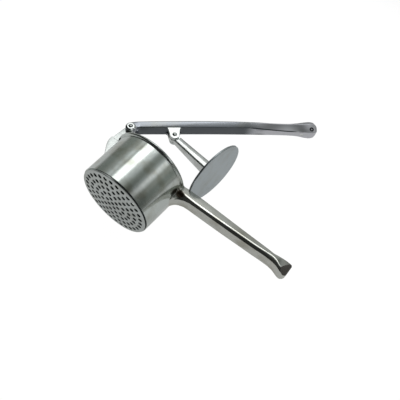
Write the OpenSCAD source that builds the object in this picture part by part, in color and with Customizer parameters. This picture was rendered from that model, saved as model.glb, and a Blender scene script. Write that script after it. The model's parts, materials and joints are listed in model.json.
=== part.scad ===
// Lever press for passatelli: a cup with a perforated bottom, cast in one
// with its handle, and a hinged lever that carries a swinging plunger.
// The press lies on its side. X runs along the fixed handle, Y runs along
// the cup from the perforated plate to the mouth, and Z is up, across both
// handles and along both hinge pins. The origin is the middle of the
// underside of the whole press.

/* [Cup] */
// Outside diameter of the cup at the perforated end
cup_base_d = 90; // [86:0.5:96]
// Outside diameter of the cup wall just below the rim
cup_top_d = 92.4; // [90:0.2:98]
// Length of the cup from its lip to the top of the rim
cup_len = 60; // [50:1:80]
// Thickness of the cup wall
cup_wall = 3.4; // [2.5:0.1:4.2]
// How far the rim stands out from the wall
rim_out = 2.5; // [1.5:0.1:4]
// Thickness of the rim along the cup
rim_t = 3.3; // [2:0.1:5]
// Thickness of the lip around the plate
lip_t = 0.9; // [0.6:0.05:1.4]
// Depth of the plate's seat behind the lip
seat_depth = 1.3; // [0.8:0.1:3]

/* [Perforated plate] */
// Sheet thickness of the plate
plate_t = 2; // [1.2:0.1:2.6]
// How far the plate's edge stands out of the lip
plate_proud = 2.1; // [1:0.1:4]
// How far the middle of the plate bulges outward
plate_dome = 1.9; // [0.5:0.1:4]
// Diameter of one hole
hole_d = 5; // [3:0.1:5.4]
// Distance from the plate's edge to the centres of the outer ring of holes
hole_margin = 6.1; // [5:0.1:9]
// Number of rings of holes around the middle one
hole_rings = 5; // [3:1:6]
// Turn of the whole pattern of holes about the cup's axis
hole_turn = 14.6; // [0:0.2:60]

/* [Lever hinge] */
// How far the hinge pin stands outside the rim
hinge_out = 3.3; // [2:0.1:8]
// Height of the hinge pin above the rim
hinge_rise = 23.9; // [20:0.1:30]
// How far the back of the web stands outside the rim
web_out = 11; // [9:0.1:15]
// Radius of the round end of the lug
lug_r = 6; // [5:0.1:7.5]
// Thickness of the lug inside the fork
lug_t = 6.6; // [5:0.1:8]
// Thickness of the web below the lug
web_t = 10; // [8.2:0.2:14]
// How far the web reaches down the wall below the rim
web_drop = 34; // [20:1:40]
// Diameter of both hinge pins
pin_d = 4.4; // [3:0.1:5]
// Diameter of a rivet's head
head_d = 5.8; // [5.2:0.1:9]
// Height of a rivet's head
head_h = 1.2; // [0.6:0.1:2]
// Angle from the fixed handle up to the lever
lever_angle = 43.5; // [36:0.5:60]

/* [Lever] */
// Distance from the hinge pin to the end of the lever
lever_len = 236; // [200:1:280]
// Radius of the round bosses at the hinge
boss_r = 6.2; // [5.5:0.1:8]
// Width over the two bosses
boss_w = 18.8; // [17.6:0.2:22]
// How far each boss stands out from its cheek
boss_out = 1.4; // [0.3:0.1:1.6]
// Distance from the hinge pin to the bottom of the fork's slot
fork_depth = 9; // [8:0.5:14]

/* [Plunger hinge] */
// How far short of the cup's axis the plunger's pin stands over a level lever
clevis_back = 0.5; // [0:0.1:3]
// Distance from the line through the lever's pin down to the plunger's pin
clevis_drop = 10.7; // [9:0.1:14]
// Radius of the round end of each ear
ear_r = 5.8; // [5:0.1:8]
// Thickness of each ear
ear_t = 3.8; // [2.5:0.1:4.4]
// How much wider each ear is on either side at its foot
ear_flare = 1.1; // [0.4:0.1:3]
// Radius of the fillet where an ear leaves the lever
ear_fillet = 4; // [2:0.5:7]

/* [Plunger] */
// Gap around the pressing disc inside the perforated end of the cup
disc_gap = 1; // [0.5:0.1:3]
// Thickness of the pressing disc
disc_t = 2.4; // [1.5:0.1:4]
// Gap left under the pressing disc when the lever is level
press_gap = 5.2; // [2.5:0.1:10]
// Thickness of the eye
eye_t = 5; // [4:0.1:6]
// Radius of the eye
eye_r = 6; // [5:0.1:8]
// Gap between the ears' round ends and the stem's shoulders
shoulder_gap = 1.5; // [0.5:0.1:3]
// Half width of the stem at its shoulders
stem_w0 = 4.8; // [4:0.1:7]
// Half width of the stem at the disc
stem_w1 = 8.8; // [6:0.1:12]
// Height of the stem's lever side over the line through its pin
stem_back = 4.4; // [3:0.1:5]
// Depth of the stem's cup side under the same line, at its shoulders
stem_front0 = 5.3; // [4:0.1:5.6]
// Depth of the stem's cup side under the same line, at the disc
stem_front1 = 8; // [4:0.1:9]
// Diameter of the tenon that holds the disc
tenon_d = 7; // [4:0.5:8]
// Length of the tenon in its blind seat
tenon_len = 1.2; // [0.6:0.1:1.3]

/* [Fixed handle] */
// Distance from the cup's axis to the end of the fixed handle
handle_len = 191.6; // [160:0.2:230]
// Height of the handle's root above the rim
handle_rise = 1.8; // [0.5:0.1:2.5]
// How far the handle's root runs down the wall below the rim
root_drop = 27.5; // [20:0.5:36]
// Length of the bevels at the handle's end
bevel_len = 9; // [5:0.5:14]
// Half width that the bevels leave at the handle's end
end_w = 4.6; // [3:0.1:7]
// Lean of the bevels, with their top toward the handle's end
bevel_lean = 14; // [0:1:20]
// Half width of the handle at its side ridges
ridge_w = 9.4; // [8.8:0.1:11]
// Half width of the flat along the handle's inner side
top_w = 8.1; // [7.4:0.1:8.6]
// Half width of the handle at the two edges of its keel
keel_w = 8.2; // [7.4:0.1:8.8]

/* [Lever's section] */
// Half width of the lever at its side ridges
grip_w = 8.6; // [7.6:0.1:11]
// Half width of the flat along the lever's outer side
crown_w = 6.2; // [4:0.1:6.8]
// Half width of the flat along the lever's inner side
flat_w = 7.3; // [7:0.1:7.5]

/* [Clearances] */
// Gap between a moving face and the face beside it
side_gap = 0.3; // [0.2:0.05:0.5]
// Radial gap of a turning pin in its bore
pin_gap = 0.08; // [0.03:0.01:0.1]
// Radial gap of a seated piece in its seat
seat_gap = 0.03; // [0.02:0.01:0.05]

/* [Hidden] */
round_fn = 96;
grip_steps = 4;

// How far joined shapes reach into each other, and how far cuts reach out
join = 1;
reach = 60;

// Cup and plate
base_r = cup_base_d / 2;
top_r = cup_top_d / 2;
rim_r = top_r + rim_out;
lip_y = plate_proud;
shoulder_y = lip_y + seat_depth;
rim_y = lip_y + cup_len;
throat_r = base_r - cup_wall;
mouth_r = top_r - cup_wall;
mouth_break = 0.8;
lip_break = 0.4;
seat_r = base_r - lip_t;
plate_r = seat_r - seat_gap;
plate_round = 0.8;
dome_r = (pow(plate_r - plate_round, 2) + pow(plate_dome, 2)) / (2 * plate_dome);
hole_pitch = (plate_r - hole_margin) / hole_rings;

// Lever hinge
hinge_x = rim_r + hinge_out;
hinge_y = rim_y + hinge_rise;
lug_back_x = rim_r + web_out;
web_shoulder = 3;
lug_inset = 1.5;
pin_r = pin_d / 2;
slot_w = lug_t + 2 * side_gap;

// Plunger hinge, at rest and with the lever level
clevis_s = hinge_x - clevis_back;
clevis_gap = eye_t + 2 * side_gap;
ear_w = clevis_gap + 2 * ear_t;
clevis_x = -hinge_x + clevis_s * cos(lever_angle) + clevis_drop * sin(lever_angle);
clevis_y = hinge_y + clevis_s * sin(lever_angle) - clevis_drop * cos(lever_angle);
disc_r = throat_r - disc_gap;
plunger_len = hinge_y - clevis_drop - plate_t - press_gap;

// The plunger hangs with its disc's edge just clear of the handle's root
rest_y = rim_y + handle_rise + side_gap;
plunger_angle = atan(disc_r / plunger_len)
    + asin((rest_y - clevis_y) / norm([disc_r, plunger_len]));

// Stations along the fixed handle: distance from the cup's axis, levels of
// the top, of the side ridge, of the keel's edge and of the keel's middle
// counted from the rim, then the half widths at the four levels. At the root
// the keel drops as a fin with wide fillets into the wall.
root_x = top_r + 25.8;
neck_x = handle_len - 29;
handle_stations = [
    [top_r - 2.2, handle_rise, -6, -10.6, -root_drop, top_w + 2.6, ridge_w + 3.4, keel_w + 2.2, keel_w],
    [top_r - 0.6, handle_rise, -6.2, -10.8, -root_drop * 0.88,
        top_w + 1.3, ridge_w + 1.9, keel_w + 1, keel_w - 0.4],
    [top_r + 1.4, handle_rise, -6.5, -11, -root_drop * 0.75,
        top_w + 0.4, ridge_w + 0.7, keel_w + 0.4, keel_w - 0.7],
    [top_r + 4.4, handle_rise, -6.9, -11.2, -root_drop * 0.62,
        top_w + 0.1, ridge_w + 0.1, keel_w + 0.1, keel_w - 1],
    [top_r + 8.3, handle_rise, -7.3, -11.4, -root_drop * 0.54, top_w, ridge_w, keel_w, keel_w - 1.3],
    [top_r + 13.8, handle_rise, -7.8, -11.6, -root_drop * 0.48, top_w, ridge_w, keel_w, keel_w - 1.6],
    [root_x, handle_rise + 0.1, -8.1, -11.8, -12.5, top_w + 0.1, ridge_w, keel_w + 0.1, keel_w - 1.6],
    [mix(root_x, neck_x, 0.35), 1.3, -7.6, -11.4, -12, top_w, ridge_w, keel_w, keel_w - 1.6],
    [mix(root_x, neck_x, 0.7), 0.9, -6.6, -10.6, -11.2, top_w - 0.6, ridge_w, keel_w - 0.3, keel_w - 2],
    [mix(root_x, neck_x, 0.85), 0.95, -6.1, -10.2, -10.8, top_w - 1.1, ridge_w - 0.1, keel_w - 0.2, keel_w - 2],
    [neck_x, 1, -5, -9.6, -10.1, top_w - 1.6, ridge_w - 0.3, keel_w - 0.2, keel_w - 2],
    [handle_len - 23, 0.8, -4.6, -9.5, -10.1, top_w - 1.7, ridge_w - 0.3, keel_w - 0.2, keel_w - 2],
    [handle_len - 16, 1.5, -6.2, -10.2, -10.9, top_w - 1.3, ridge_w - 0.2, keel_w - 0.2, keel_w - 2],
    [handle_len - 11.5, 1.8, -8.4, -11.7, -12.4, top_w - 1.1, ridge_w - 0.3, keel_w - 0.3, keel_w - 2],
    [handle_len - 8, 1.9, -9, -12.9, -13.8, top_w - 1, ridge_w - 0.4, keel_w - 0.4, keel_w - 2],
    [handle_len - 4, 1.8, -8.8, -13.6, -14.5, top_w - 1.1, ridge_w - 0.4, keel_w - 0.2, keel_w - 2],
    [handle_len - 1, 1.4, -8.4, -12.2, -13, top_w - 1.3, ridge_w - 0.6, keel_w - 0.8, keel_w - 2.4],
    [handle_len, 0.1, -8.2, -10.7, -11.3, top_w - 1.7, ridge_w - 1, keel_w - 1.4, keel_w - 2.8]];

// Stations along the lever: distance from the hinge pin, levels of the
// crown, of the side ridge and of the underside counted from the line
// through the pin, then the half widths at the three levels.
under_y = -0.35;
bar_s = fork_depth + 1;
cheek_w = boss_w / 2 - boss_out;
hip_s = clevis_s + 34;
waist_s = lever_len - 39;
lever_stations = [
    [-boss_r, 1.4, 0.2, -1, crown_w, cheek_w - 0.4, cheek_w - 0.4],
    [-boss_r * 0.85, boss_r * 0.7, boss_r * 0.4, -boss_r * 0.5, crown_w, cheek_w, cheek_w],
    [-boss_r * 0.45, boss_r * 1.2, boss_r * 0.7, -boss_r * 0.87, crown_w, cheek_w, cheek_w],
    [0.5, 8.4, 5.6, 0.1 - boss_r, crown_w, cheek_w, cheek_w],
    [mix(0.5, bar_s, 0.33), 8.9, 6.3, mix(-boss_r, under_y, 0.13), crown_w, cheek_w, cheek_w],
    [mix(0.5, bar_s, 0.65), 9.2, 6.8, mix(-boss_r, under_y, 0.62), crown_w, cheek_w, cheek_w],
    [bar_s, 9.4, 7.1, under_y - 0.3, crown_w, cheek_w + 0.1, flat_w + 0.3],
    [bar_s + 2.5, 9.6, 7.2, under_y, crown_w - 0.2, grip_w - 0.3, flat_w],
    [clevis_s - 7, 10.3, 7.6, under_y, crown_w - 0.1, grip_w - 0.1, flat_w],
    [hip_s, 10.6, 7.7, under_y, crown_w, grip_w, flat_w],
    [mix(hip_s, waist_s, 0.35), 10.1, 7.1, -0.9, crown_w, grip_w, flat_w - 0.3],
    [mix(hip_s, waist_s, 0.64), 9, 6, -2.1, crown_w, grip_w, flat_w - 1.2],
    [mix(hip_s, waist_s, 0.84), 7.2, 4.3, -3.8, crown_w, grip_w, flat_w - 2.9],
    [waist_s, 6.6, 3.1, -4.9, crown_w, grip_w + 0.1, flat_w - 3.5],
    [lever_len - 27, 7.5, 3.2, -5.8, crown_w + 0.3, grip_w + 0.2, flat_w - 3],
    [lever_len - 17, 8.8, 3.2, -7.4, crown_w + 0.6, grip_w + 0.4, flat_w - 1.8],
    [lever_len - 11, 9.4, 2.8, -8.2, crown_w + 0.6, grip_w + 0.4, flat_w - 1.5],
    [lever_len - 6, 8.9, 2.3, -7.6, crown_w + 0.2, grip_w, flat_w - 1.9],
    [lever_len - 2.5, 6.7, 1.8, -5.3, crown_w - 1.4, grip_w - 1.8, flat_w - 3.3],
    [lever_len - 0.7, 4.2, 1.4, -2.6, crown_w - 3.3, grip_w - 4.4, flat_w - 4.9],
    [lever_len, 2.4, 1.1, -0.3, crown_w - 4.8, grip_w - 6.6, flat_w - 6.1]];

// Place of the whole press over its origin
lever_tip_y = hinge_y + max([for (s = refine(lever_stations))
    s[0] * sin(lever_angle) + s[1] * cos(lever_angle)]);
middle_x = (handle_len - lug_back_x) / 2;
middle_y = (lever_tip_y - plate_dome) / 2;

function mix(a, b, t) = a * (1 - t) + b * t;
function ease(t) = t * t * (3 - 2 * t);

// Points of an arc, counter-clockwise from one angle to another
function arc(x, y, r, from, to, n = 12) =
    [for (i = [0 : n]) [x + r * cos(mix(from, to, i / n)), y + r * sin(mix(from, to, i / n))]];

// Slope of column k at station i, level where the run turns back
function slope(list, i, k) =
    i <= 0 || i >= len(list) - 1 ? 0 :
    let (before = (list[i][k] - list[i - 1][k]) / (list[i][0] - list[i - 1][0]),
        after = (list[i + 1][k] - list[i][k]) / (list[i + 1][0] - list[i][0]))
    before * after <= 0 ? 0 : 2 * before * after / (before + after);

// Column k between stations i and i + 1, at the share t of the way
function between(list, i, k, t) =
    let (run = list[i + 1][0] - list[i][0], t2 = t * t, t3 = t2 * t)
    (2 * t3 - 3 * t2 + 1) * list[i][k]
    + (t3 - 2 * t2 + t) * run * slope(list, i, k)
    + (3 * t2 - 2 * t3) * list[i + 1][k]
    + (t3 - t2) * run * slope(list, i + 1, k);

// The stations with smooth steps put in between them
function refine(list) = [
    for (i = [0 : len(list) - 2], j = [0 : grip_steps - 1]) concat(
        mix(list[i][0], list[i + 1][0], j / grip_steps),
        [for (k = [1 : len(list[0]) - 1]) between(list, i, k, j / grip_steps)]),
    list[len(list) - 1]];

// One section of a bar: its levels from the top down at one side's half
// widths, then back up at the other side's
function bar_ring(s) =
    let (n = (len(s) - 1) / 2)
    concat([for (k = [1 : n]) [s[0], s[k], -s[k + n]]],
        [for (k = [n : -1 : 1]) [s[0], s[k], s[k + n]]]);

// A solid through a row of rings that all have the same number of points
module skin(rings) {
    n = len(rings[0]);
    last = len(rings) - 1;
    sides = [for (i = [0 : last - 1], j = [0 : n - 1])
        let (a = i * n + j, b = i * n + (j + 1) % n)
        each [[a, b, a + n], [b, b + n, a + n]]];
    polyhedron(
        points = [for (ring = rings) each ring],
        faces = concat(sides,
            [[for (j = [n - 1 : -1 : 0]) j]],
            [[for (j = [0 : n - 1]) last * n + j]]),
        convexity = 4);
}

// Stands a shape that was made along Z along the cup's axis
module along_cup() {
    rotate([-90, 0, 0]) children();
}

// A pin's bore or shank, centred on Z
module across(r, w) {
    cylinder(r = r, h = w, center = true, $fn = round_fn);
}

// From the cup's own axes to the place where the press lies
module lay_down() {
    translate([-middle_x, -middle_y, rim_r]) children();
}

module at_lever() {
    translate([-hinge_x, hinge_y, 0]) rotate([0, 0, lever_angle]) children();
}

module at_plunger() {
    translate([clevis_x, clevis_y, 0]) rotate([0, 0, plunger_angle]) children();
}

// Outline of the cup's wall, lip and rim: radius, then level along the cup
module cup_outline() {
    polygon([[throat_r, shoulder_y], [seat_r, shoulder_y], [seat_r, lip_y],
        [base_r - lip_break, lip_y], [base_r, lip_y + lip_break], [top_r, rim_y - rim_t],
        [rim_r - rim_t / 2, rim_y - rim_t], [rim_r - rim_t / 2, rim_y],
        [mouth_r + mouth_break, rim_y], [mouth_r, rim_y - mouth_break]]);
    translate([rim_r - rim_t / 2, rim_y - rim_t / 2]) circle(d = rim_t, $fn = round_fn);
}

// Web and lug that carry the lever, seen across the press
module web_outline() {
    wall_x = top_r - cup_wall / 2;
    low_y = rim_y - web_drop;
    polygon(concat(
        [[-wall_x, rim_y], [-wall_x, low_y]],
        [for (i = [0 : 12])
            [-mix(top_r - join / 2, lug_back_x, ease(i / 12)),
                mix(low_y, rim_y - web_shoulder, i / 12)]],
        [[-lug_back_x, rim_y]]));
}

module lug_outline() {
    polygon([[-mouth_r - lug_inset, rim_y - rim_t / 2], [-lug_back_x, rim_y - rim_t / 2],
        [-hinge_x - lug_r, hinge_y], [-hinge_x + lug_r, hinge_y]]);
    translate([-hinge_x, hinge_y]) circle(r = lug_r, $fn = round_fn);
}

// Bevel across one side of the fixed handle's end, from its ridge inward
module end_bevel() {
    wide = ridge_w - 0.4;
    ridge_y = rim_y - 8.6;
    translate([handle_len - bevel_len, ridge_y, wide]) rotate([0, 0, -bevel_lean])
        rotate([0, atan((wide - end_w) / bevel_len), 0])
            translate([-bevel_len, -reach / 2, 0]) cube(reach);
}

module cup_body() color("#aeb4b4") lay_down() {
    difference() {
        union() {
            along_cup() rotate_extrude($fn = round_fn) cup_outline();
            linear_extrude(web_t, center = true) web_outline();
            linear_extrude(lug_t, center = true) lug_outline();
            translate([0, rim_y, 0]) skin([for (s = refine(handle_stations)) bar_ring(s)]);
        }
        for (side = [0, 1]) mirror([0, 0, side]) end_bevel();
        translate([-hinge_x, hinge_y, 0]) across(pin_r + pin_gap, web_t);
    }
}

// Outline of the plate: a domed sheet with a short skirt around it
module plate_outline() {
    skirt_y = shoulder_y;
    difference() {
        union() {
            intersection() {
                translate([0, dome_r - plate_dome]) circle(r = dome_r, $fn = 720);
                translate([0, -plate_dome]) square([plate_r - plate_round, plate_dome + plate_t]);
            }
            translate([plate_r - plate_round, plate_round]) circle(r = plate_round, $fn = 48);
            translate([plate_r - plate_t, plate_round]) square([plate_t, skirt_y - plate_round]);
            square([plate_r - plate_round, plate_t]);
        }
        intersection() {
            translate([0, dome_r - plate_dome + plate_t]) circle(r = dome_r, $fn = 720);
            translate([-join, -plate_dome])
                square([plate_r - plate_t + join, skirt_y + plate_dome + join]);
        }
    }
}

module perforated_plate() color("#a3abaa") lay_down() along_cup() {
    difference() {
        rotate_extrude($fn = round_fn) plate_outline();
        for (ring = [0 : hole_rings], i = [0 : max(1, 6 * ring) - 1])
            rotate(hole_turn + 60 * i / max(1, ring))
                translate([ring * hole_pitch, 0, -plate_dome - join])
                    cylinder(d = hole_d, h = plate_dome + plate_t + 2 * join, $fn = 24);
    }
}

// Ear that carries the plunger, with fillets up into the bar
module ear_outline() {
    foot = under_y + join;
    side = ear_r + ear_flare + ear_fillet;
    translate([clevis_s, 0]) {
        translate([0, -clevis_drop]) circle(r = ear_r, $fn = round_fn);
        polygon(concat(
            [[-side, foot]],
            arc(-side, under_y - ear_fillet, ear_fillet, 90, 0),
            [[-ear_r, -clevis_drop], [ear_r, -clevis_drop]],
            arc(side, under_y - ear_fillet, ear_fillet, 180, 90),
            [[side, foot]]));
    }
}

module lever() color("#a9afb1") lay_down() at_lever() {
    difference() {
        union() {
            skin([for (s = refine(lever_stations)) bar_ring(s)]);
            for (side = [0, 1]) mirror([0, 0, side])
                rotate_extrude($fn = round_fn) polygon([[0, slot_w / 2 - join],
                    [boss_r, slot_w / 2 - join], [boss_r, cheek_w],
                    [boss_r - boss_out * 1.3, boss_w / 2], [0, boss_w / 2]]);
            for (side = [-1, 1]) translate([0, 0, side * (ear_w - ear_t) / 2])
                linear_extrude(ear_t, center = true) ear_outline();
        }
        translate([fork_depth - reach, -reach / 2, -slot_w / 2]) cube([reach, reach, slot_w]);
        across(pin_r + seat_gap, boss_w + join);
        translate([clevis_s, -clevis_drop, 0]) across(pin_r + seat_gap, ear_w + join);
    }
}

// Section of the stem at a distance from the pin, with its edges broken
function stem_ring(p, half_w, front, c = 1) = [
    [p, stem_back, -half_w + c], [p, stem_back - c, -half_w],
    [p, -front + c, -half_w], [p, -front, -half_w + c],
    [p, -front, half_w - c], [p, -front + c, half_w],
    [p, stem_back - c, half_w], [p, stem_back, half_w - c]];

module plunger_stem() color("#b6bcbc") lay_down() at_plunger() {
    stem_end = plunger_len - disc_t;
    shoulder_r = ear_r + shoulder_gap;
    difference() {
        union() {
            across(eye_r, eye_t);
            skin([stem_ring(join, stem_w0, stem_front0),
                stem_ring(shoulder_r, stem_w0, stem_front0),
                stem_ring(stem_end, stem_w1, stem_front1)]);
            translate([stem_end - join, 0, 0]) rotate([0, 90, 0])
                cylinder(d = tenon_d, h = tenon_len + join, $fn = round_fn);
        }
        for (side = [0, 1]) mirror([0, 0, side]) translate([0, 0, eye_t / 2])
            cylinder(r = shoulder_r, h = stem_w0, $fn = round_fn);
        across(pin_r + pin_gap, eye_t + join);
    }
}

module plunger_disc() color("#868e94") lay_down() at_plunger() {
    edge = 0.3;
    seat_x = tenon_len + seat_gap;
    translate([plunger_len - disc_t, 0, 0]) rotate([0, 90, 0])
        rotate_extrude($fn = round_fn) polygon([
            [tenon_d / 2 + seat_gap, 0], [disc_r - edge, 0], [disc_r, edge],
            [disc_r, disc_t - edge], [disc_r - edge, disc_t], [0, disc_t],
            [0, seat_x], [tenon_d / 2 + seat_gap, seat_x]]);
}

// A rivet across the press, with a low domed head on each end
module rivet(grip) {
    head_r = head_d / 2;
    ball_r = (head_r * head_r + head_h * head_h) / (2 * head_h);
    across(pin_r, grip + head_h / 2);
    for (side = [0, 1]) mirror([0, 0, side]) translate([0, 0, grip / 2])
        rotate_extrude($fn = round_fn) intersection() {
            translate([0, head_h - ball_r]) circle(r = ball_r, $fn = round_fn);
            square([head_r, head_h]);
        }
}

module pivot_rivet() color("#8f9698") lay_down() at_lever() rivet(boss_w);

module plunger_rivet() color("#8f9698") lay_down() at_lever()
    translate([clevis_s, -clevis_drop, 0]) rivet(ear_w);

cup_body();
perforated_plate();
lever();
plunger_stem();
plunger_disc();
pivot_rivet();
plunger_rivet();
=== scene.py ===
import json
import math

import bmesh
import bpy
from mathutils import Matrix, Vector


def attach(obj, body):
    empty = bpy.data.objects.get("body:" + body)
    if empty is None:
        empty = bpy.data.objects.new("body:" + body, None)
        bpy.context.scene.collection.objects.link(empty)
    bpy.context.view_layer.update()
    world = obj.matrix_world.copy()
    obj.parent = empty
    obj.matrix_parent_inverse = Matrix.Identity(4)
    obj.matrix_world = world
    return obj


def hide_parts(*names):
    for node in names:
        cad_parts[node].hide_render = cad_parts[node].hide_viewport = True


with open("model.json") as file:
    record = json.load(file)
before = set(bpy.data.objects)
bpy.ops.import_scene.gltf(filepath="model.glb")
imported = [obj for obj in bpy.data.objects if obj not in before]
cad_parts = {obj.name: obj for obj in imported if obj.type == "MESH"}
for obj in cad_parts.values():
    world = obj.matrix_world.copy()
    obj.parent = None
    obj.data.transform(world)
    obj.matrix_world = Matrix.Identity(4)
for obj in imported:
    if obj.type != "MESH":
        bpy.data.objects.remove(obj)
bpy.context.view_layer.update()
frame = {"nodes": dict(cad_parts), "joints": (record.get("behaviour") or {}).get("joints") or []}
mm = 0.001

# Camera
# A camera held over the open side of the press, with a lens of medium
# length, looking down across the cup toward the lever.
joints = {joint["name"]: joint for joint in frame["joints"]}
hinge_place = Vector(joints["lever_hinge"]["pos_m"])
camera_place = hinge_place + Vector((227.95, -259.34, 428.83)) * mm
camera_turn = (30.505, -7.796, 37.187)
lens_mm = 40.5

bpy.ops.object.select_all(action="DESELECT")
bpy.ops.object.camera_add(location=camera_place, rotation=[math.radians(a) for a in camera_turn])
camera = bpy.context.object
camera.name = "camera"
camera.data.lens = lens_mm
camera.data.clip_start = 10 * mm
bpy.context.scene.camera = camera
bpy.context.scene.view_settings.view_transform = "Standard"

# Cup wall
# The round wall of the one casting: a short, slightly widening tube with a
# thin lip around the plate's seat and a rolled flange around the mouth.
# Cast in aluminium and turned smooth, its edges broken by the polishing.
hinge_x = 52
hinge_y = 86
cup_place = hinge_place + Vector((hinge_x, -hinge_y, 0)) * mm
cup_base_r = 45
cup_top_r = 46.2
cup_len = 60
wall_t = 3.4
lip_t = 0.9
seat_depth = 1.3
rim_out = 2.5
rim_t = 3.3
throat_r = cup_base_r - wall_t
mouth_r = cup_top_r - wall_t
seat_r = cup_base_r - lip_t
rim_r = cup_top_r + rim_out
lip_y = 2.1
seat_y = lip_y + seat_depth
rim_y = lip_y + cup_len
wall_sides = 160


def arc(x, y, r, start, end, steps):
    """Points of an arc from one angle to another, in degrees."""
    turn = math.radians(end - start) / steps
    first = math.radians(start)
    return [(x + r * math.cos(first + i * turn), y + r * math.sin(first + i * turn))
            for i in range(steps + 1)]


def turned(name, profile, sides=wall_sides, closed=True):
    """A ring drawn along a profile of (radius, level along Y), in millimetres."""
    bpy.ops.object.select_all(action="DESELECT")
    radius, level = profile[0]
    bpy.ops.mesh.primitive_circle_add(
        vertices=sides, radius=radius * mm, rotation=(math.pi / 2, 0, 0),
        location=(0, level * mm, 0), fill_type="NOTHING" if closed else "NGON")
    piece = bpy.context.object
    piece.name = piece.data.name = name
    bpy.ops.object.transform_apply(location=True, rotation=True, scale=True)
    bpy.ops.object.mode_set(mode="EDIT")
    bpy.ops.mesh.select_all(action="SELECT")
    for next_radius, next_level in profile[1:]:
        rise = {"value": (0, (next_level - level) * mm, 0)}
        if closed:
            bpy.ops.mesh.extrude_edges_move(TRANSFORM_OT_translate=rise)
        else:
            bpy.ops.mesh.extrude_region_move(TRANSFORM_OT_translate=rise)
        grow = next_radius / radius
        bpy.ops.transform.resize(value=(grow, 1, grow))
        radius, level = next_radius, next_level
    bpy.ops.mesh.select_all(action="SELECT")
    bpy.ops.mesh.remove_doubles(threshold=0.01 * mm)
    bpy.ops.mesh.normals_make_consistent(inside=False)
    bpy.ops.object.mode_set(mode="OBJECT")
    return piece


def finish_edges(piece, width, angle=32, segments=3):
    """Rounds the sharp edges as the polishing wheel does, and shades the piece smooth."""
    bpy.ops.object.select_all(action="DESELECT")
    piece.select_set(True)
    bpy.context.view_layer.objects.active = piece
    if width:
        bevel = piece.modifiers.new("broken edges", "BEVEL")
        bevel.width = width * mm
        bevel.segments = segments
        bevel.limit_method = "ANGLE"
        bevel.angle_limit = math.radians(angle)
        bpy.ops.object.modifier_apply(modifier=bevel.name)
    bpy.ops.object.shade_smooth_by_angle(angle=math.radians(40))
    weighted = piece.modifiers.new("flat faces stay flat", "WEIGHTED_NORMAL")
    weighted.keep_sharp = True
    bpy.ops.object.modifier_apply(modifier=weighted.name)


def put(piece, place, turn=0.0):
    """Moves a finished piece to its place and leaves its object at the origin."""
    bpy.ops.object.select_all(action="DESELECT")
    piece.select_set(True)
    bpy.context.view_layer.objects.active = piece
    piece.location = place
    piece.rotation_euler.z = turn
    bpy.ops.object.transform_apply(location=True, rotation=True, scale=True)


flange_fillet = 1.1
flange_y = rim_y - rim_t
wall_profile = (
    [(seat_r, seat_y), (seat_r, lip_y), (cup_base_r, lip_y)]
    + [(cup_top_r - 0.03, flange_y - flange_fillet - 0.3)]
    + arc(cup_top_r + flange_fillet, flange_y - flange_fillet, flange_fillet, 180, 90, 5)
    + arc(rim_r - rim_t / 2 - 0.02, flange_y + rim_t / 2, rim_t / 2, -90, 90, 10)
    + [(mouth_r, rim_y), (throat_r, seat_y), (seat_r, seat_y)])
cup_wall = turned("cup_wall", wall_profile)
finish_edges(cup_wall, 0.35)
put(cup_wall, cup_place)

# Hinge lug
# The web that climbs the wall under the flange, and the thinner lug above
# the flange that carries the lever. Both are part of the casting, with the
# soft edges of the sand mould.
lug_back_x = 59.7
lug_r = 6
lug_t = 6.6
web_t = 10
web_low_y = rim_y - 34


def slab(name, outline, low, high):
    """A flat outline in X and Y, in millimetres, extruded from one height to another."""
    bpy.ops.object.select_all(action="DESELECT")
    bpy.ops.mesh.primitive_circle_add(vertices=len(outline), radius=mm, fill_type="NGON")
    piece = bpy.context.object
    piece.name = piece.data.name = name
    for corner, (x, y) in zip(piece.data.vertices, outline):
        corner.co = (x * mm, y * mm, low * mm)
    bpy.ops.object.mode_set(mode="EDIT")
    bpy.ops.mesh.select_all(action="SELECT")
    bpy.ops.mesh.extrude_region_move(TRANSFORM_OT_translate={"value": (0, 0, (high - low) * mm)})
    bpy.ops.mesh.select_all(action="SELECT")
    bpy.ops.mesh.normals_make_consistent(inside=False)
    bpy.ops.object.mode_set(mode="OBJECT")
    return piece


web_back = [(-(cup_top_r - 0.5) - (lug_back_x - cup_top_r + 0.5) * t * t * (3 - 2 * t),
             web_low_y + (rim_y - 3 - web_low_y) * t) for t in [i / 14 for i in range(15)]]
web = slab("web", [(-44.5, rim_y), (-44.5, web_low_y)] + web_back + [(-lug_back_x, rim_y)],
           -web_t / 2, web_t / 2)
finish_edges(web, 0.8)
put(web, cup_place)

lug = slab("lug", [(-mouth_r - 1.5, rim_y - rim_t / 2), (-lug_back_x, rim_y - rim_t / 2)]
           + arc(-hinge_x, hinge_y, lug_r, 180, 0, 24), -lug_t / 2, lug_t / 2)
finish_edges(lug, 0.5)
put(lug, cup_place)

# Fixed handle
# The long handle of the same casting. It leaves the wall with wide fillets,
# runs out as a flat-topped bar with a ridge along each side, and ends in a
# flared foot with its corners ground away. Polished lengthways.
handle_len = 191.6
root_drop = 27.5
bevel_len = 9
bevel_lean = 14
ridge_w = 9.4
top_w = 8.1
keel_w = 8.2
ridge_land = 1.7
bulge = 0.12
grip_steps = 5


def slope(stations, i, k):
    """Slope of column k at station i, level where the run turns back."""
    if i == 0 or i == len(stations) - 1:
        return 0
    here, back, on = stations[i], stations[i - 1], stations[i + 1]
    before = (here[k] - back[k]) / (here[0] - back[0])
    after = (on[k] - here[k]) / (on[0] - here[0])
    return 0 if before * after <= 0 else 2 * before * after / (before + after)


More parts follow.
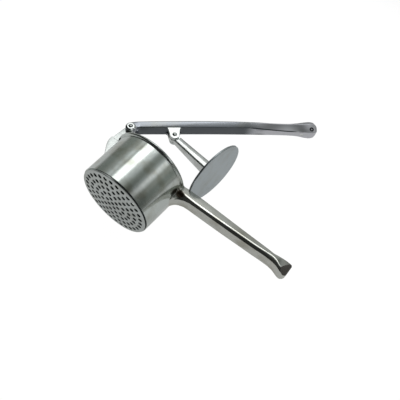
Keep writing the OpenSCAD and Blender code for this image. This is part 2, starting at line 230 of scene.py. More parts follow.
def smooth_run(stations):
    """The stations with smooth steps put in between them."""
    run = []
    for i in range(len(stations) - 1):
        start, end = stations[i], stations[i + 1]
        span = end[0] - start[0]
        for t in [step / grip_steps for step in range(grip_steps)]:
            run.append([start[0] + span * t] + [
                (2 * t ** 3 - 3 * t ** 2 + 1) * start[k] + (3 * t ** 2 - 2 * t ** 3) * end[k]
                + (t ** 3 - 2 * t ** 2 + t) * span * slope(stations, i, k)
                + (t ** 3 - t ** 2) * span * slope(stations, i + 1, k)
                for k in range(1, len(start))])
    return run + [list(stations[-1])]


def bar_section(station, rounding, land=0.0):
    """A section from its levels and half widths: corners rounded, faces a little crowned."""
    count = (len(station) - 1) // 2
    half = [Vector((station[1 + k], station[1 + count + k])) for k in range(count)]
    if land:
        half[1:2] = [half[1] + Vector((land / 2, 0)), half[1] - Vector((land / 2, 0))]
    corners = half + [Vector((c.x, -c.y)) for c in reversed(half)]
    middle = Vector(((half[0].x + half[-1].x) / 2, 0))
    corners = [c - (c - middle).normalized() * bulge for c in corners]
    ring = []
    for i, corner in enumerate(corners):
        back = corners[i - 1] - corner
        on = corners[(i + 1) % len(corners)] - corner
        r = min(rounding[min(i, len(corners) - 1 - i)], 0.4 * back.length, 0.4 * on.length)
        start = corner + back.normalized() * r
        end = corner + on.normalized() * r
        for t in (0, 1 / 3, 2 / 3, 1):
            ring.append(start * (1 - t) ** 2 + corner * 2 * t * (1 - t) + end * t * t)
        side = corner + on / 2
        out = Vector((-on.y, on.x)).normalized() * min(bulge, 0.02 * on.length)
        ring.append(side + (out if out.dot(side - middle) > 0 else -out))
    return [Vector((station[0], point.x, point.y)) * mm for point in ring]


def grown(name, sections):
    """Extrudes one section into the next, end to end."""
    bpy.ops.object.select_all(action="DESELECT")
    bpy.ops.mesh.primitive_circle_add(vertices=len(sections[0]), radius=mm, fill_type="NGON")
    piece = bpy.context.object
    piece.name = piece.data.name = name
    for point, place in zip(piece.data.vertices, sections[0]):
        point.co = place
    bpy.ops.object.mode_set(mode="EDIT")
    bpy.ops.mesh.select_all(action="SELECT")
    shape = bmesh.from_edit_mesh(piece.data)
    for last, section in zip(sections, sections[1:]):
        bpy.ops.mesh.extrude_region_move()
        for point in [v for v in shape.verts if v.select]:
            nearest = min(range(len(last)), key=lambda i: (point.co - last[i]).length_squared)
            point.co = section[nearest]
    bpy.ops.mesh.select_all(action="SELECT")
    bpy.ops.mesh.normals_make_consistent(inside=False)
    bpy.ops.object.mode_set(mode="OBJECT")
    return piece


def mix(a, b, t):
    """The value at the share t of the way from a to b."""
    return a * (1 - t) + b * t


# Each station holds the place along the handle, the levels of the top, the
# ridge, the keel's edge and the keel's middle, and then their half widths.
root_x = cup_top_r + 25.8
neck_x = handle_len - 29
handle_stations = [
    [cup_top_r - 2.2, 1.8, -6, -10.6, -root_drop,
     top_w + 2.6, ridge_w + 3.4, keel_w + 2.2, keel_w],
    [cup_top_r - 0.6, 1.8, -6.2, -10.8, -root_drop * 0.88,
     top_w + 1.3, ridge_w + 1.9, keel_w + 1, keel_w - 0.4],
    [cup_top_r + 1.4, 1.8, -6.5, -11, -root_drop * 0.75,
     top_w + 0.4, ridge_w + 0.7, keel_w + 0.4, keel_w - 0.7],
    [cup_top_r + 4.4, 1.8, -6.9, -11.2, -root_drop * 0.62,
     top_w + 0.1, ridge_w + 0.1, keel_w + 0.1, keel_w - 1],
    [cup_top_r + 8.3, 1.8, -7.3, -11.4, -root_drop * 0.54, top_w, ridge_w, keel_w, keel_w - 1.3],
    [cup_top_r + 13.8, 1.8, -7.8, -11.6, -root_drop * 0.48, top_w, ridge_w, keel_w, keel_w - 1.6],
    [root_x, 1.9, -8.1, -11.8, -12.5, top_w + 0.1, ridge_w, keel_w + 0.1, keel_w - 1.6],
    [mix(root_x, neck_x, 0.35), 1.3, -7.6, -11.4, -12, top_w, ridge_w, keel_w, keel_w - 1.6],
    [mix(root_x, neck_x, 0.7), 0.9, -6.6, -10.6, -11.2, top_w - 0.6, ridge_w, keel_w - 0.3, keel_w - 2],
    [mix(root_x, neck_x, 0.85), 0.95, -6.1, -10.2, -10.8,
     top_w - 1.1, ridge_w - 0.1, keel_w - 0.2, keel_w - 2],
    [neck_x, 1, -5, -9.6, -10.1, top_w - 1.6, ridge_w - 0.3, keel_w - 0.2, keel_w - 2],
    [handle_len - 23, 0.8, -4.6, -9.5, -10.1, top_w - 1.7, ridge_w - 0.3, keel_w - 0.2, keel_w - 2],
    [handle_len - 16, 1.5, -6.2, -10.2, -10.9, top_w - 1.3, ridge_w - 0.2, keel_w - 0.2, keel_w - 2],
    [handle_len - 11.5, 1.8, -8.4, -11.7, -12.4, top_w - 1.1, ridge_w - 0.3, keel_w - 0.3, keel_w - 2],
    [handle_len - 8, 1.9, -9, -12.9, -13.8, top_w - 1, ridge_w - 0.4, keel_w - 0.4, keel_w - 2],
    [handle_len - 4, 1.8, -8.8, -13.6, -14.5, top_w - 1.1, ridge_w - 0.4, keel_w - 0.2, keel_w - 2],
    [handle_len - 1, 1.4, -8.4, -12.2, -13, top_w - 1.3, ridge_w - 0.6, keel_w - 0.8, keel_w - 2.4],
    [handle_len, 0.1, -8.2, -10.7, -11.3, top_w - 1.7, ridge_w - 1, keel_w - 1.4, keel_w - 2.8]]
handle_rounding = (1.1, 0.2, 0.2, 1, 2)
root_rounding = 2.5
rounded_len = 9
rounded_end = cup_top_r + 7
handle_sections = []
for station in smooth_run(handle_stations):
    soft = root_rounding * max(0, (rounded_end - station[0]) / rounded_len)
    handle_sections.append(bar_section(station, [r + soft for r in handle_rounding],
                                       ridge_land + soft))
handle = grown("fixed_handle", handle_sections)
bevel_w = ridge_w - 0.4
bevel_y = -8.6
foot_w = 4.6
bevel_tilt = math.atan((bevel_w - foot_w) / bevel_len)
bpy.ops.object.mode_set(mode="EDIT")
for side in (1, -1):
    facing = Matrix.Rotation(math.radians(-bevel_lean), 3, "Z") @ Vector(
        (math.sin(bevel_tilt), 0, side * math.cos(bevel_tilt)))
    bpy.ops.mesh.select_all(action="SELECT")
    bpy.ops.mesh.bisect(
        plane_co=Vector((handle_len - bevel_len, bevel_y, side * bevel_w)) * mm,
        plane_no=facing, use_fill=True, clear_outer=True)
bpy.ops.object.mode_set(mode="OBJECT")
finish_edges(handle, 0.6, 22)
put(handle, cup_place + Vector((0, rim_y * mm, 0)))


def linear(code):
    """An sRGB hex colour as the linear colour that a shader takes."""
    parts = [int(code[i:i + 2], 16) / 255 for i in (1, 3, 5)]
    return [c / 12.92 if c <= 0.04045 else ((c + 0.055) / 1.055) ** 2.4 for c in parts] + [1]


def add(material, kind, inputs=(), **settings):
    """Adds a node, sets its properties, and gives its inputs their values or the outputs they follow."""
    node = material.node_tree.nodes.new(kind)
    for key, value in settings.items():
        name = key.replace("_", " ")
        if hasattr(node, key):
            setattr(node, key, value)
        else:
            node.inputs[name].default_value = value
    for name, source in inputs:
        if isinstance(source, bpy.types.NodeSocket):
            material.node_tree.links.new(node.inputs[name], source)
        else:
            node.inputs[name].default_value = source
    return node


def maths(material, operation, *values):
    """The result of a sum on outputs and numbers."""
    return add(material, "ShaderNodeMath", enumerate(values), operation=operation).outputs[0]


def measured(material, operation, *places):
    """The number that a sum on places gives, such as a distance."""
    return add(material, "ShaderNodeVectorMath", enumerate(places), operation=operation).outputs["Value"]


# Polished cast aluminium: bright, mirror-like along the polishing and a little
# drawn out across it, with the slow ripple that a buffing wheel leaves in a
# casting. Wheel marks are 0.1 mm apart and are drawn at 0.5 mm to show.
ripple = 0.05


def polished(name, colour, centre, turn=0.0, grain=(12, 1, 12), roughness=(0.1, 0.2),
             stain="#9b9a8c", stained=0.3):
    """Cast aluminium, polished along the axes where grain is long (in marks' widths)."""
    metal = bpy.data.materials.new(name)
    metal.use_nodes = True
    shader = metal.node_tree.nodes["Principled BSDF"]
    shader.inputs["Metallic"].default_value = 1
    where = add(metal, "ShaderNodeTexCoord")
    place = add(metal, "ShaderNodeMapping", [("Vector", where.outputs["Object"])],
                name="place", vector_type="TEXTURE", Location=centre, Rotation=(0, 0, turn))
    marks_at = add(metal, "ShaderNodeMapping", [("Vector", place.outputs[0])],
                   Scale=[1 / (0.5 * mm * length) for length in grain])
    marks = add(metal, "ShaderNodeTexNoise", [("Vector", marks_at.outputs[0])],
                Scale=1.0, Detail=3.0, Roughness=0.6)
    waves = add(metal, "ShaderNodeTexNoise", [("Vector", place.outputs[0])],
                Scale=1 / (16 * mm), Detail=2.0, Roughness=0.5)
    sheen = add(metal, "ShaderNodeMapRange", [("Value", marks.outputs["Fac"])],
                From_Min=0.3, From_Max=0.7, To_Min=roughness[0], To_Max=roughness[1])
    worn = add(metal, "ShaderNodeMapRange", [("Value", waves.outputs["Fac"])],
               From_Min=0.45, From_Max=0.75, To_Min=0.0, To_Max=stained)
    tint = add(metal, "ShaderNodeMix", [("Factor", worn.outputs[0])],
               data_type="RGBA", A=linear(colour), B=linear(stain))
    soft = add(metal, "ShaderNodeBump", [("Height", waves.outputs["Fac"])],
               Strength=1.0, Distance=ripple * mm)
    fine = add(metal, "ShaderNodeBump", [("Height", marks.outputs["Fac"]), ("Normal", soft.outputs[0])],
               Strength=1.0, Distance=0.004 * mm)
    links = metal.node_tree.links
    links.new(shader.inputs["Base Color"], tint.outputs["Result"])
    links.new(shader.inputs["Roughness"], sheen.outputs[0])
    links.new(shader.inputs["Normal"], fine.outputs[0])
    return metal


def within(material, source, *fades):
    """One where a value in mm lies inside all the fades, each given as (where it is 0, where it is 1)."""
    share = None
    for outside, inside in fades:
        fade = add(material, "ShaderNodeMapRange", [("Value", source)], interpolation_type="SMOOTHSTEP",
                   From_Min=outside * mm, From_Max=inside * mm).outputs[0]
        share = maths(material, "MULTIPLY", share, fade) if share else fade
    return share


def place_on(metal):
    """The socket of a metal that gives a point's place along its piece, in metres."""
    return metal.node_tree.nodes["place"].outputs[0]


def shade_or_finish(metal, share, colour, roughness):
    """Gives the share of a surface another colour and roughness: painted shade, a painted highlight, or a
    paler, duller finish.
    """
    shader = metal.node_tree.nodes["Principled BSDF"]
    for name, kind, value in [("Base Color", "RGBA", linear(colour)), ("Roughness", "FLOAT", roughness)]:
        before = shader.inputs[name].links[0].from_socket
        after = add(metal, "ShaderNodeMix", [("Factor", share), ("A", before)], data_type=kind, B=value)
        metal.node_tree.links.new(shader.inputs[name], after.outputs["Result"])


cup_wall.data.materials.append(polished("turned_cast_aluminium", "#ccd2cf", cup_place,
                                        stain="#8f8a72", stained=0.6))
web.data.materials.append(polished("buffed_cast_aluminium", "#c2c6c4", cup_place, grain=(1, 8, 1),
                                   roughness=(0.15, 0.3), stain="#7d8280", stained=0.8))
lug.data.materials.append(web.data.materials[0])
handle_metal = polished("drawn_cast_aluminium", "#cccdc7", cup_place, grain=(30, 1, 1),
                        stain="#8c8672", stained=0.5)
# Painted shade darkens the corner under the ridge, where the handle
# leaves the wall, and the ground faces of the foot are painted darker and
# a little duller than the rest.
corner_at = Vector((50, rim_y - 11, 11))
from_corner = measured(handle_metal, "DISTANCE", place_on(handle_metal), corner_at * mm)
shade_or_finish(handle_metal, within(handle_metal, from_corner, (7, 4)), "#3b342b", 0.35)
# Painted shade on the ground faces of the foot, which are also a little rougher.
one_side = add(handle_metal, "ShaderNodeVectorMath", [(0, place_on(handle_metal))], operation="ABSOLUTE")
facet = Vector((facing.x, facing.y, abs(facing.z)))
facet_at = facet.dot(Vector((handle_len - bevel_len, rim_y + bevel_y, bevel_w)))
along_facet = measured(handle_metal, "DOT_PRODUCT", one_side.outputs[0], facet)
on_facet = within(handle_metal, along_facet, (facet_at - 0.2, facet_at - 0.08))
shade_or_finish(handle_metal, on_facet, "#85817d", 0.22)
handle.data.materials.append(handle_metal)


def joined(name, main, others):
    """Joins the others to the main piece, as one casting."""
    bpy.ops.object.select_all(action="DESELECT")
    for part in others:
        part.select_set(True)
    main.select_set(True)
    bpy.context.view_layer.objects.active = main
    bpy.ops.object.join()
    main.name = main.data.name = name
    return main


casting = joined("cup_casting", cup_wall, [web, lug, handle])
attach(casting, "cup")
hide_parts("cup_body")

# Perforated plate
# A pressed sheet plate with punched holes, tumbled to a dull grey and pressed
# into the cup's seat. Its edge stands a little out of the lip.
plate = frame["nodes"]["perforated_plate"]
plate_weld = plate.modifiers.new("one skin", "WELD")
plate_weld.merge_threshold = 0.002 * mm
plate_edges = plate.modifiers.new("punched edges", "BEVEL")
plate_edges.width = 0.25 * mm
plate_edges.segments = 2
plate_edges.limit_method = "ANGLE"
plate_edges.angle_limit = math.radians(30)
plate_metal = polished("tumbled_sheet_aluminium", "#cfd4d2", cup_place, grain=(3, 3, 3),
                       roughness=(0.38, 0.46))
# Painted shade fills the holes' walls, and the gap beside the lip on the +X
# side; both are found by their depth behind the dome of the face.
plate_t = 2
plate_dome = 1.9
dome_edge_r = seat_r - 0.83
dome_r = (dome_edge_r ** 2 + plate_dome ** 2) / (2 * plate_dome)
on_plate = add(plate_metal, "ShaderNodeSeparateXYZ", [(0, place_on(plate_metal))])
spoke = add(plate_metal, "ShaderNodeCombineXYZ",
            [("X", on_plate.outputs["X"]), ("Y", on_plate.outputs["Z"])]).outputs[0]
radius_squared = measured(plate_metal, "DOT_PRODUCT", spoke, spoke)
dome = maths(plate_metal, "MULTIPLY_ADD", radius_squared, -1 / (2 * dome_r * mm), plate_dome * mm)
depth = maths(plate_metal, "ADD", on_plate.outputs["Y"], dome)
behind_face = within(plate_metal, depth, (0.25, 0.7), (plate_t - 0.03, plate_t - 0.1))
gap_side = within(plate_metal, on_plate.outputs["X"], (-6, 5))
gap_r, holes_r = 43.2, 42.4
in_holes = within(plate_metal, radius_squared, (gap_r ** 2 * mm, holes_r ** 2 * mm))
dark = maths(plate_metal, "MAXIMUM", gap_side, in_holes)
dark = maths(plate_metal, "MULTIPLY", behind_face, dark)
shade_or_finish(plate_metal, dark, "#33393a", 0.6)
plate.data.materials.clear()
plate.data.materials.append(plate_metal)

# Lever
# The moving handle: a second casting with a fork over the lug, two round
# bosses for the hinge rivet and a clevis of two ears for the plunger. The bar
# is flat underneath and ridged along its sides, and its end is a round thumb.
lever_turn = math.radians(43.5)
lever_len = 236
boss_r = 6.2
boss_w = 18.8
boss_out = 1.4
cheek_w = boss_w / 2 - boss_out
slot_w = lug_t + 0.6
fork_depth = 9
clevis_s = 51.5
clevis_drop = 10.7
ear_r = 5.8
ear_t = 3.8
ear_flare = 1.1
ear_fillet = 4
ear_w = 5.6 + 2 * ear_t
under_y = -0.35
grip_w = 8.6
crown_w = 6.2
flat_w = 7.3
bar_s = fork_depth + 1
hip_s = clevis_s + 34
waist_s = lever_len - 39

# Each station holds the place along the bar, the levels of the crown, the
# ridge and the underside, and then their half widths.
lever_stations = [
    [-boss_r, 1.4, 0.2, -1, crown_w, cheek_w - 0.4, cheek_w - 0.4],
    [-boss_r * 0.85, boss_r * 0.7, boss_r * 0.4, -boss_r * 0.5, crown_w, cheek_w, cheek_w],
    [-boss_r * 0.45, boss_r * 1.2, boss_r * 0.7, -boss_r * 0.87, crown_w, cheek_w, cheek_w],
    [0.5, 8.4, 5.6, 0.1 - boss_r, crown_w, cheek_w, cheek_w],
    [mix(0.5, bar_s, 0.33), 8.9, 6.3, mix(-boss_r, under_y, 0.13), crown_w, cheek_w, cheek_w],
    [mix(0.5, bar_s, 0.65), 9.2, 6.8, mix(-boss_r, under_y, 0.62), crown_w, cheek_w, cheek_w],
    [bar_s, 9.4, 7.1, under_y - 0.3, crown_w, cheek_w + 0.1, flat_w + 0.3],
    [bar_s + 2.5, 9.6, 7.2, under_y, crown_w - 0.2, grip_w - 0.3, flat_w],
    [clevis_s - 7, 10.3, 7.6, under_y, crown_w - 0.1, grip_w - 0.1, flat_w],
    [hip_s, 10.6, 7.7, under_y, crown_w, grip_w, flat_w],
    [mix(hip_s, waist_s, 0.35), 10.1, 7.1, -0.9, crown_w, grip_w, flat_w - 0.3],
    [mix(hip_s, waist_s, 0.64), 9, 6, -2.1, crown_w, grip_w, flat_w - 1.2],
    [mix(hip_s, waist_s, 0.84), 7.2, 4.3, -3.8, crown_w, grip_w, flat_w - 2.9],
    [waist_s, 6.6, 3.1, -4.9, crown_w, grip_w + 0.1, flat_w - 3.5],
    [lever_len - 27, 7.5, 3.2, -5.8, crown_w + 0.3, grip_w + 0.2, flat_w - 3],
    [lever_len - 17, 8.8, 3.2, -7.4, crown_w + 0.6, grip_w + 0.4, flat_w - 1.8],
    [lever_len - 11, 9.4, 2.8, -8.2, crown_w + 0.6, grip_w + 0.4, flat_w - 1.5],
    [lever_len - 6, 8.9, 2.3, -7.6, crown_w + 0.2, grip_w, flat_w - 1.9],
    [lever_len - 2.5, 6.7, 1.8, -5.3, crown_w - 1.4, grip_w - 1.8, flat_w - 3.3],
    [lever_len - 0.7, 4.2, 1.4, -2.6, crown_w - 3.3, grip_w - 4.4, flat_w - 4.9],
    [lever_len, 2.4, 1.1, -0.3, crown_w - 4.8, grip_w - 6.6, flat_w - 6.1]]
lever_rounding = (1.4, 0.6, 0.8)
lever = grown("lever_bar", [bar_section(s, lever_rounding) for s in smooth_run(lever_stations)])


def cut_away(piece, tool):
    """Cuts a tool's shape out of a piece, and removes the tool."""
    cut = piece.modifiers.new(tool.name, "BOOLEAN")
    cut.operation = "DIFFERENCE"
    cut.object = tool
    cut.solver = "EXACT"
    bpy.ops.object.select_all(action="DESELECT")
    piece.select_set(True)
    bpy.context.view_layer.objects.active = piece
    bpy.ops.object.modifier_apply(modifier=cut.name)
    bpy.data.objects.remove(tool)


reach = 30
bpy.ops.object.select_all(action="DESELECT")
bpy.ops.mesh.primitive_cube_add(location=((fork_depth - reach) * mm, 0, 0),
                                scale=(reach * mm, reach * mm, slot_w / 2 * mm))
cut_away(lever, bpy.context.object)

# The casting's marks on the end: a sunk ring on each side, where the metal
# came in, and a small sunk disc below, where a pin pushed the casting out.
gate_at = Vector((226.2, -3.6, 7.1))
gate_facing = Vector((0.09, -0.28, 0.955))
gate_rings = [(1.1, -0.9), (1.1, 2), (2.6, 2), (2.6, -0.9)]
ejector_at = Vector((214, -6.7, 0))
ejector_facing = Vector((-0.17, -0.985, 0))
ejector_rings = [(0.1, -0.4), (0.1, 2), (1.7, 2), (1.7, -0.4)]
other_side = Vector((1, 1, -1))
for place, facing, rings in [(gate_at, gate_facing, gate_rings),
                             (gate_at * other_side, gate_facing * other_side, gate_rings),
                             (ejector_at, ejector_facing, ejector_rings)]:
    mark_tool = turned("mark", rings + rings[:1], 32)
    mark_tool.rotation_mode = "QUATERNION"
    mark_tool.rotation_quaternion = Vector((0, 1, 0)).rotation_difference(facing)
    mark_tool.location = place * mm
    cut_away(lever, mark_tool)
finish_edges(lever, 0.35, 34)

ear_side = ear_r + ear_flare + ear_fillet
ear_outline = (
    [(clevis_s - ear_side, under_y + 1)]
    + arc(clevis_s - ear_side, under_y - ear_fillet, ear_fillet, 90, 0, 6)
    + arc(clevis_s, -clevis_drop, ear_r, 180, 360, 28)
    + arc(clevis_s + ear_side, under_y - ear_fillet, ear_fillet, 180, 90, 6)
    + [(clevis_s + ear_side, under_y + 1)])
ears_and_bosses = []
for side in (1, -1):
    inner, outer = (ear_w / 2 - ear_t) * side, ear_w / 2 * side
    ear = slab("ear", ear_outline, inner, outer)
    finish_edges(ear, 0.4, 50)
    inner, outer = (slot_w / 2 - 0.2) * side, boss_w / 2 * side
    boss = turned("boss", [(boss_r, inner), (boss_r, cheek_w * side),
                           (boss_r - boss_out * 1.3, outer)], 64, closed=False)
    boss.rotation_euler.x = math.pi / 2
    put(boss, Vector((0, 0, 0)))
    finish_edges(boss, 0.4, 25)
    ears_and_bosses += [ear, boss]

# The underside of the straight stretch gets painted shade, a painted dark
# line of shade runs out from it along the side, and the end is paler and a
# little duller. The marks get painted shade in the ring and a painted highlight on the disc.
bar_metal = polished("polished_cast_aluminium", "#90949a", hinge_place, lever_turn, grain=(30, 1, 1))
straight_end = (153, 138)
underside = [(0.15, -0.2), (-2.6, -2.2)]
held_end = (140, 166)
crease_ends = [(143, 152), (210, 200)]
crease_sides = [(8.2, 8.5), (9.6, 9.1)]
crease_slope = 0.066
along, up, across = add(bar_metal, "ShaderNodeSeparateXYZ", [(0, place_on(bar_metal))]).outputs
# Painted shade on the underside of the straight stretch.
underside_shade = maths(bar_metal, "MULTIPLY", within(bar_metal, along, straight_end),
             within(bar_metal, up, *underside))
shade_or_finish(bar_metal, underside_shade, "#666a6e", 0.3)
shade_or_finish(bar_metal, within(bar_metal, along, held_end), "#d8d8de", 0.34)
# A painted dark line of shade along the side, running out from the underside.
from_crease = maths(bar_metal, "MULTIPLY_ADD", along, crease_slope, up)
crease = maths(bar_metal, "MULTIPLY", within(bar_metal, along, *crease_ends),
               within(bar_metal, from_crease, *crease_sides))
shade_or_finish(bar_metal, crease, "#3f434a", 0.4)
one_side = add(bar_metal, "ShaderNodeCombineXYZ", [
    ("X", along), ("Y", up), ("Z", maths(bar_metal, "ABSOLUTE", across))]).outputs[0]
# Painted shade in the sunk ring of the gate marks, and a painted highlight on the ejector mark's disc.
for place, fades, colour in [(gate_at, [(3.1, 2.6), (0.9, 1.3)], "#3a3c42"),
                             (ejector_at, [(2.3, 1.7)], "#f6f6f6")]:
    from_mark = measured(bar_metal, "DISTANCE", one_side, place * mm)
    shade_or_finish(bar_metal, within(bar_metal, from_mark, *fades), colour, 0.45)

# The ears and bosses are buffed bright; the fillets at the ears' feet get painted shade.
ear_metal = polished("buffed_lever_aluminium", "#ced2d1", hinge_place, lever_turn, grain=(1, 1, 1))
on_ear = add(ear_metal, "ShaderNodeSeparateXYZ", [(0, place_on(ear_metal))])
from_pin = maths(ear_metal, "SUBTRACT", on_ear.outputs["X"], clevis_s * mm)
from_pin = maths(ear_metal, "ABSOLUTE", from_pin)
shade_or_finish(ear_metal, within(ear_metal, from_pin, (7, 8), (14, 13)), "#666a6e", 0.3)
lever.data.materials.append(bar_metal)
for part in ears_and_bosses:
    part.data.materials.append(ear_metal)
joined("lever_casting", lever, ears_and_bosses)
put(lever, hinge_place, lever_turn)
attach(lever, "lever")
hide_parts("lever")

# Plunger stem
# A tapered casting with an eye between the ears. Its two near faces are
# crowned and meet in a soft crease, and the lever's ears clear its shoulders.
pin_place = Vector(joints["plunger_hinge"]["pos_m"])
plunger_len = 68.1
disc_t = 2.4
handle_top = 1.8
rest_gap = 0.3
rest_y = rim_y + handle_top + rest_gap
disc_r = throat_r - 1
pin_y = (pin_place - cup_place).y / mm
plunger_turn = (math.atan(disc_r / plunger_len)
                + math.asin((rest_y - pin_y) / math.hypot(disc_r, plunger_len)))
eye_r = 6
eye_t = 5
eye_bore_r = 2.28
shoulder_r = ear_r + 1.5
stem_back = 4.4
stem_w = 4.8
stem_foot_w = 8.8
stem_front = 5.3
stem_foot_front = 8
stem_end = plunger_len - disc_t


def stem_section(at, half_w, front):
    """A section of the stem: a back, two crowned near faces on each side, and a front."""
    crease = -0.22 * front
    half = [(stem_back, half_w - 2.3), (stem_back - 0.35, half_w - 1.5), (stem_back - 1, half_w - 0.85),
            (mix(stem_back, crease, 0.5), half_w - 0.3), (mix(stem_back, crease, 0.8), half_w - 0.08),
            (crease + 0.25, half_w), (crease - 0.25, half_w - 0.02),
            (mix(crease, -front, 0.35), half_w - 0.05), (mix(crease, -front, 0.7), half_w - 0.25),
            (1 - front, half_w - 0.5), (0.3 - front, half_w - 1), (-front, half_w - 1.8)]
    return ([Vector((at, level, width)) * mm for level, width in half]
            + [Vector((at, level, -width)) * mm for level, width in reversed(half)])


stem_sections = []
for at in (4.5, shoulder_r, 20, 32, 44, 56, stem_end):
    share = (at - shoulder_r) / (stem_end - shoulder_r)
    stem_sections.append(stem_section(at, mix(stem_w, stem_foot_w, share),
                                      mix(stem_front, stem_foot_front, share)))
stem = grown("stem_bar", stem_sections)
cheek_t = 6
for side in (1, -1):
    bpy.ops.object.select_all(action="DESELECT")
    bpy.ops.mesh.primitive_cylinder_add(vertices=96, radius=shoulder_r * mm, depth=cheek_t * mm,
                                        location=(0, 0, side * (eye_t + cheek_t) / 2 * mm))
    cut_away(stem, bpy.context.object)
finish_edges(stem, 0.35, 40, 2)
eye = turned("eye", [(eye_bore_r, -eye_t / 2), (eye_r, -eye_t / 2), (eye_r, eye_t / 2),
                     (eye_bore_r, eye_t / 2), (eye_bore_r, -eye_t / 2)], 64)
eye.rotation_euler.x = math.pi / 2
put(eye, Vector((0, 0, 0)))
finish_edges(eye, 0.5)
joined("stem_casting", stem, [eye])
put(stem, pin_place, plunger_turn)
stem.data.materials.append(polished("stem_cast_aluminium", "#e6e9e8", pin_place, plunger_turn,
                                    grain=(12, 1, 1), roughness=(0.2, 0.3)))
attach(stem, "plunger")
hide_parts("plunger_stem")

# Plunger disc
# The flat round disc that presses the dough: sheet aluminium with a fine
# satin grain, stamped and set on the stem's end.
disc = frame["nodes"]["plunger_disc"]
disc_weld = disc.modifiers.new("one skin", "WELD")
disc_weld.merge_threshold = 0.002 * mm
disc.data.materials.clear()
disc.data.materials.append(polished("satin_sheet_aluminium", "#bcc4c8", pin_place, grain=(1, 1, 1),
                                    roughness=(0.36, 0.42)))

# Rivets
# Two aluminium rivets with low domed heads, one through the fork and the lug
# and one through the ears and the stem's eye, hammered over and buffed.
for node in ("pivot_rivet", "plunger_rivet"):
    rivet = frame["nodes"][node]
    rivet.data.materials.clear()
    rivet.data.materials.append(polished(node, "#c6cac8", hinge_place, grain=(1, 1, 1)))

# Floor
# A white card that the press lies on. Its glow for the camera and in the
# metal is a painted pool of light, strongest near the press and fading away
# from it, and the card takes a faint shadow.
pool_r = 0.42
pool_end = 1.3
near_glow = 1.16
far_glow = 0.25
glow_share = 0.85
glow_in_metal = 0.4
bpy.ops.object.select_all(action="DESELECT")
bpy.ops.mesh.primitive_plane_add(size=12, location=(0, 0, -0.1 * mm))
floor = bpy.context.object
floor.name = "floor"
card = bpy.data.materials.new("white_card")
card.use_nodes = True
matt = card.node_tree.nodes["Principled BSDF"]
matt.inputs["Base Color"].default_value = linear("#f0f0ee")
matt.inputs["Roughness"].default_value = 0.9
matt.inputs["Specular IOR Level"].default_value = 0.2
rays = add(card, "ShaderNodeLightPath")
in_metal = maths(card, "MULTIPLY", rays.outputs["Is Glossy Ray"], glow_in_metal)
seen = maths(card, "MAXIMUM", rays.outputs["Is Camera Ray"], in_metal)
seen = maths(card, "MAXIMUM", rays.outputs["Is Transmission Ray"], seen)
share = maths(card, "MULTIPLY", seen, glow_share)
on_card = add(card, "ShaderNodeTexCoord")
away = measured(card, "LENGTH", on_card.outputs["Object"])
pool = add(card, "ShaderNodeMapRange", [("Value", away)], interpolation_type="SMOOTHSTEP",
           From_Min=pool_r, From_Max=pool_end, To_Min=near_glow, To_Max=far_glow)
glow = add(card, "ShaderNodeEmission", [("Strength", pool.outputs[0])], Color=(1, 1, 1, 1))
blend = add(card, "ShaderNodeMixShader", [(0, share), (1, matt.outputs[0]), (2, glow.outputs[0])])
card.node_tree.links.new(card.node_tree.nodes["Material Output"].inputs[0], blend.outputs[0])
floor.data.materials.append(card)

# Light
# A plain studio: two soft boxes over the press, pale and grey panels that fan
# out by their angle over it, and a room that is dark behind the camera but
# for one bright panel low on the right.
studio = bpy.data.worlds.new("studio")
bpy.context.scene.world = studio
studio.use_nodes = True
ray = add(studio, "ShaderNodeTexCoord")
ray = add(studio, "ShaderNodeSeparateXYZ", [(0, ray.outputs["Generated"])])
over = maths(studio, "ARCTAN2", ray.outputs["Z"], ray.outputs["X"])
over = maths(studio, "DIVIDE", over, math.pi)
tent = add(studio, "ShaderNodeValToRGB", [(0, over)])
# By their angle over the press, from +X round to -X: a slim white strip, and
# a wide pale panel with a slit in it, both with soft edges, on a grey wall.
grey, dim, mid, pale, white = "#888d88", "#9fa19b", "#b8bcbb", "#e5e8e7", "#ffffff"
panels = [(0, dim), (10, grey), (20, grey), (28, dim), (36, dim), (42, pale), (45, white), (51, white),
          (56, mid), (66, grey), (76, grey), (84, mid), (98, pale), (122, pale), (126, mid),
          (131, pale), (136, pale), (141, mid), (150, dim), (160, grey)]


def stops(ramp, colours):
    """Gives a colour ramp its stops, as (place, linear colour)."""
    while len(ramp.elements) > 1:
        ramp.elements.remove(ramp.elements[0])
    for i, (place, colour) in enumerate(colours):
        stop = ramp.elements[0] if i == 0 else ramp.elements.new(place)
        stop.position = place
        stop.color = colour


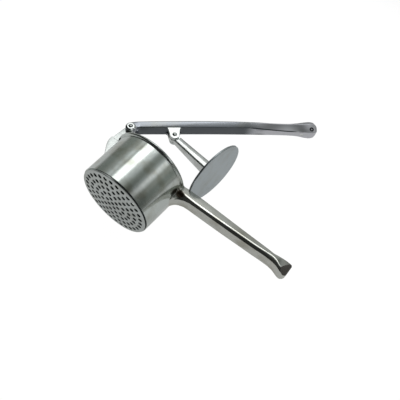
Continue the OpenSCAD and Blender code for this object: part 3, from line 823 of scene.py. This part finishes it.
stops(tent.color_ramp, [(angle / 180, linear(colour)) for angle, colour in panels])
along = add(studio, "ShaderNodeMapRange", [("Value", ray.outputs["Y"])], From_Min=-1.0, From_Max=1.0)
brightest = 2
sides = []
for levels in [[(-0.1, 0.05), (0.08, 0.12), (0.22, 0.6), (0.32, 0.65), (0.4, 1), (0.52, 1), (0.74, 0.6)],
               [(-0.55, 0.04), (-0.38, 1.6), (-0.22, 1.6), (-0.02, 0.4), (0.2, 0.2), (0.34, 0.2),
                (0.4, 1), (0.52, 1), (0.74, 0.55)]]:
    side = add(studio, "ShaderNodeValToRGB", [(0, along.outputs[0])])
    stops(side.color_ramp, [((y + 1) / 2, (value / brightest,) * 3 + (1,)) for y, value in levels])
    sides.append(side.outputs["Color"])
to_right = add(studio, "ShaderNodeMapRange", [("Value", ray.outputs["X"])], interpolation_type="SMOOTHSTEP",
               From_Min=0.2, From_Max=0.38)
level = add(studio, "ShaderNodeMix", [("Factor", to_right.outputs[0]), ("A", sides[0]), ("B", sides[1])],
            data_type="RGBA")
level = maths(studio, "MULTIPLY", level.outputs["Result"], brightest)
room = studio.node_tree.nodes["Background"]
studio.node_tree.links.new(room.inputs["Color"], tent.outputs["Color"])
studio.node_tree.links.new(room.inputs["Strength"], level)


lamp_away = 4


def softbox(name, direction, width, length, radiance):
    """An area lamp aimed at the press, its size given as at 1 m and its second side along Y."""
    bpy.ops.object.select_all(action="DESELECT")
    bpy.ops.object.light_add(type="AREA")
    lamp = bpy.context.object
    lamp.name = lamp.data.name = name
    back_z = Vector(direction).normalized()
    side = Vector((0, 1, 0)).cross(back_z).normalized()
    lamp.matrix_world = Matrix.Translation(back_z * lamp_away) @ Matrix(
        (side, back_z.cross(side), back_z)).transposed().to_4x4()
    lamp.data.shape = "RECTANGLE"
    lamp.data.size = width * lamp_away
    lamp.data.size_y = length * lamp_away
    lamp.data.energy = radiance * math.pi * lamp.data.size * lamp.data.size_y


softbox("soft_box", (-0.33, 0.41, 0.85), 0.36, 0.38, 1.3)
softbox("ridge_strip", (-0.06, 0.5, 0.86), 0.28, 0.12, 2.0)
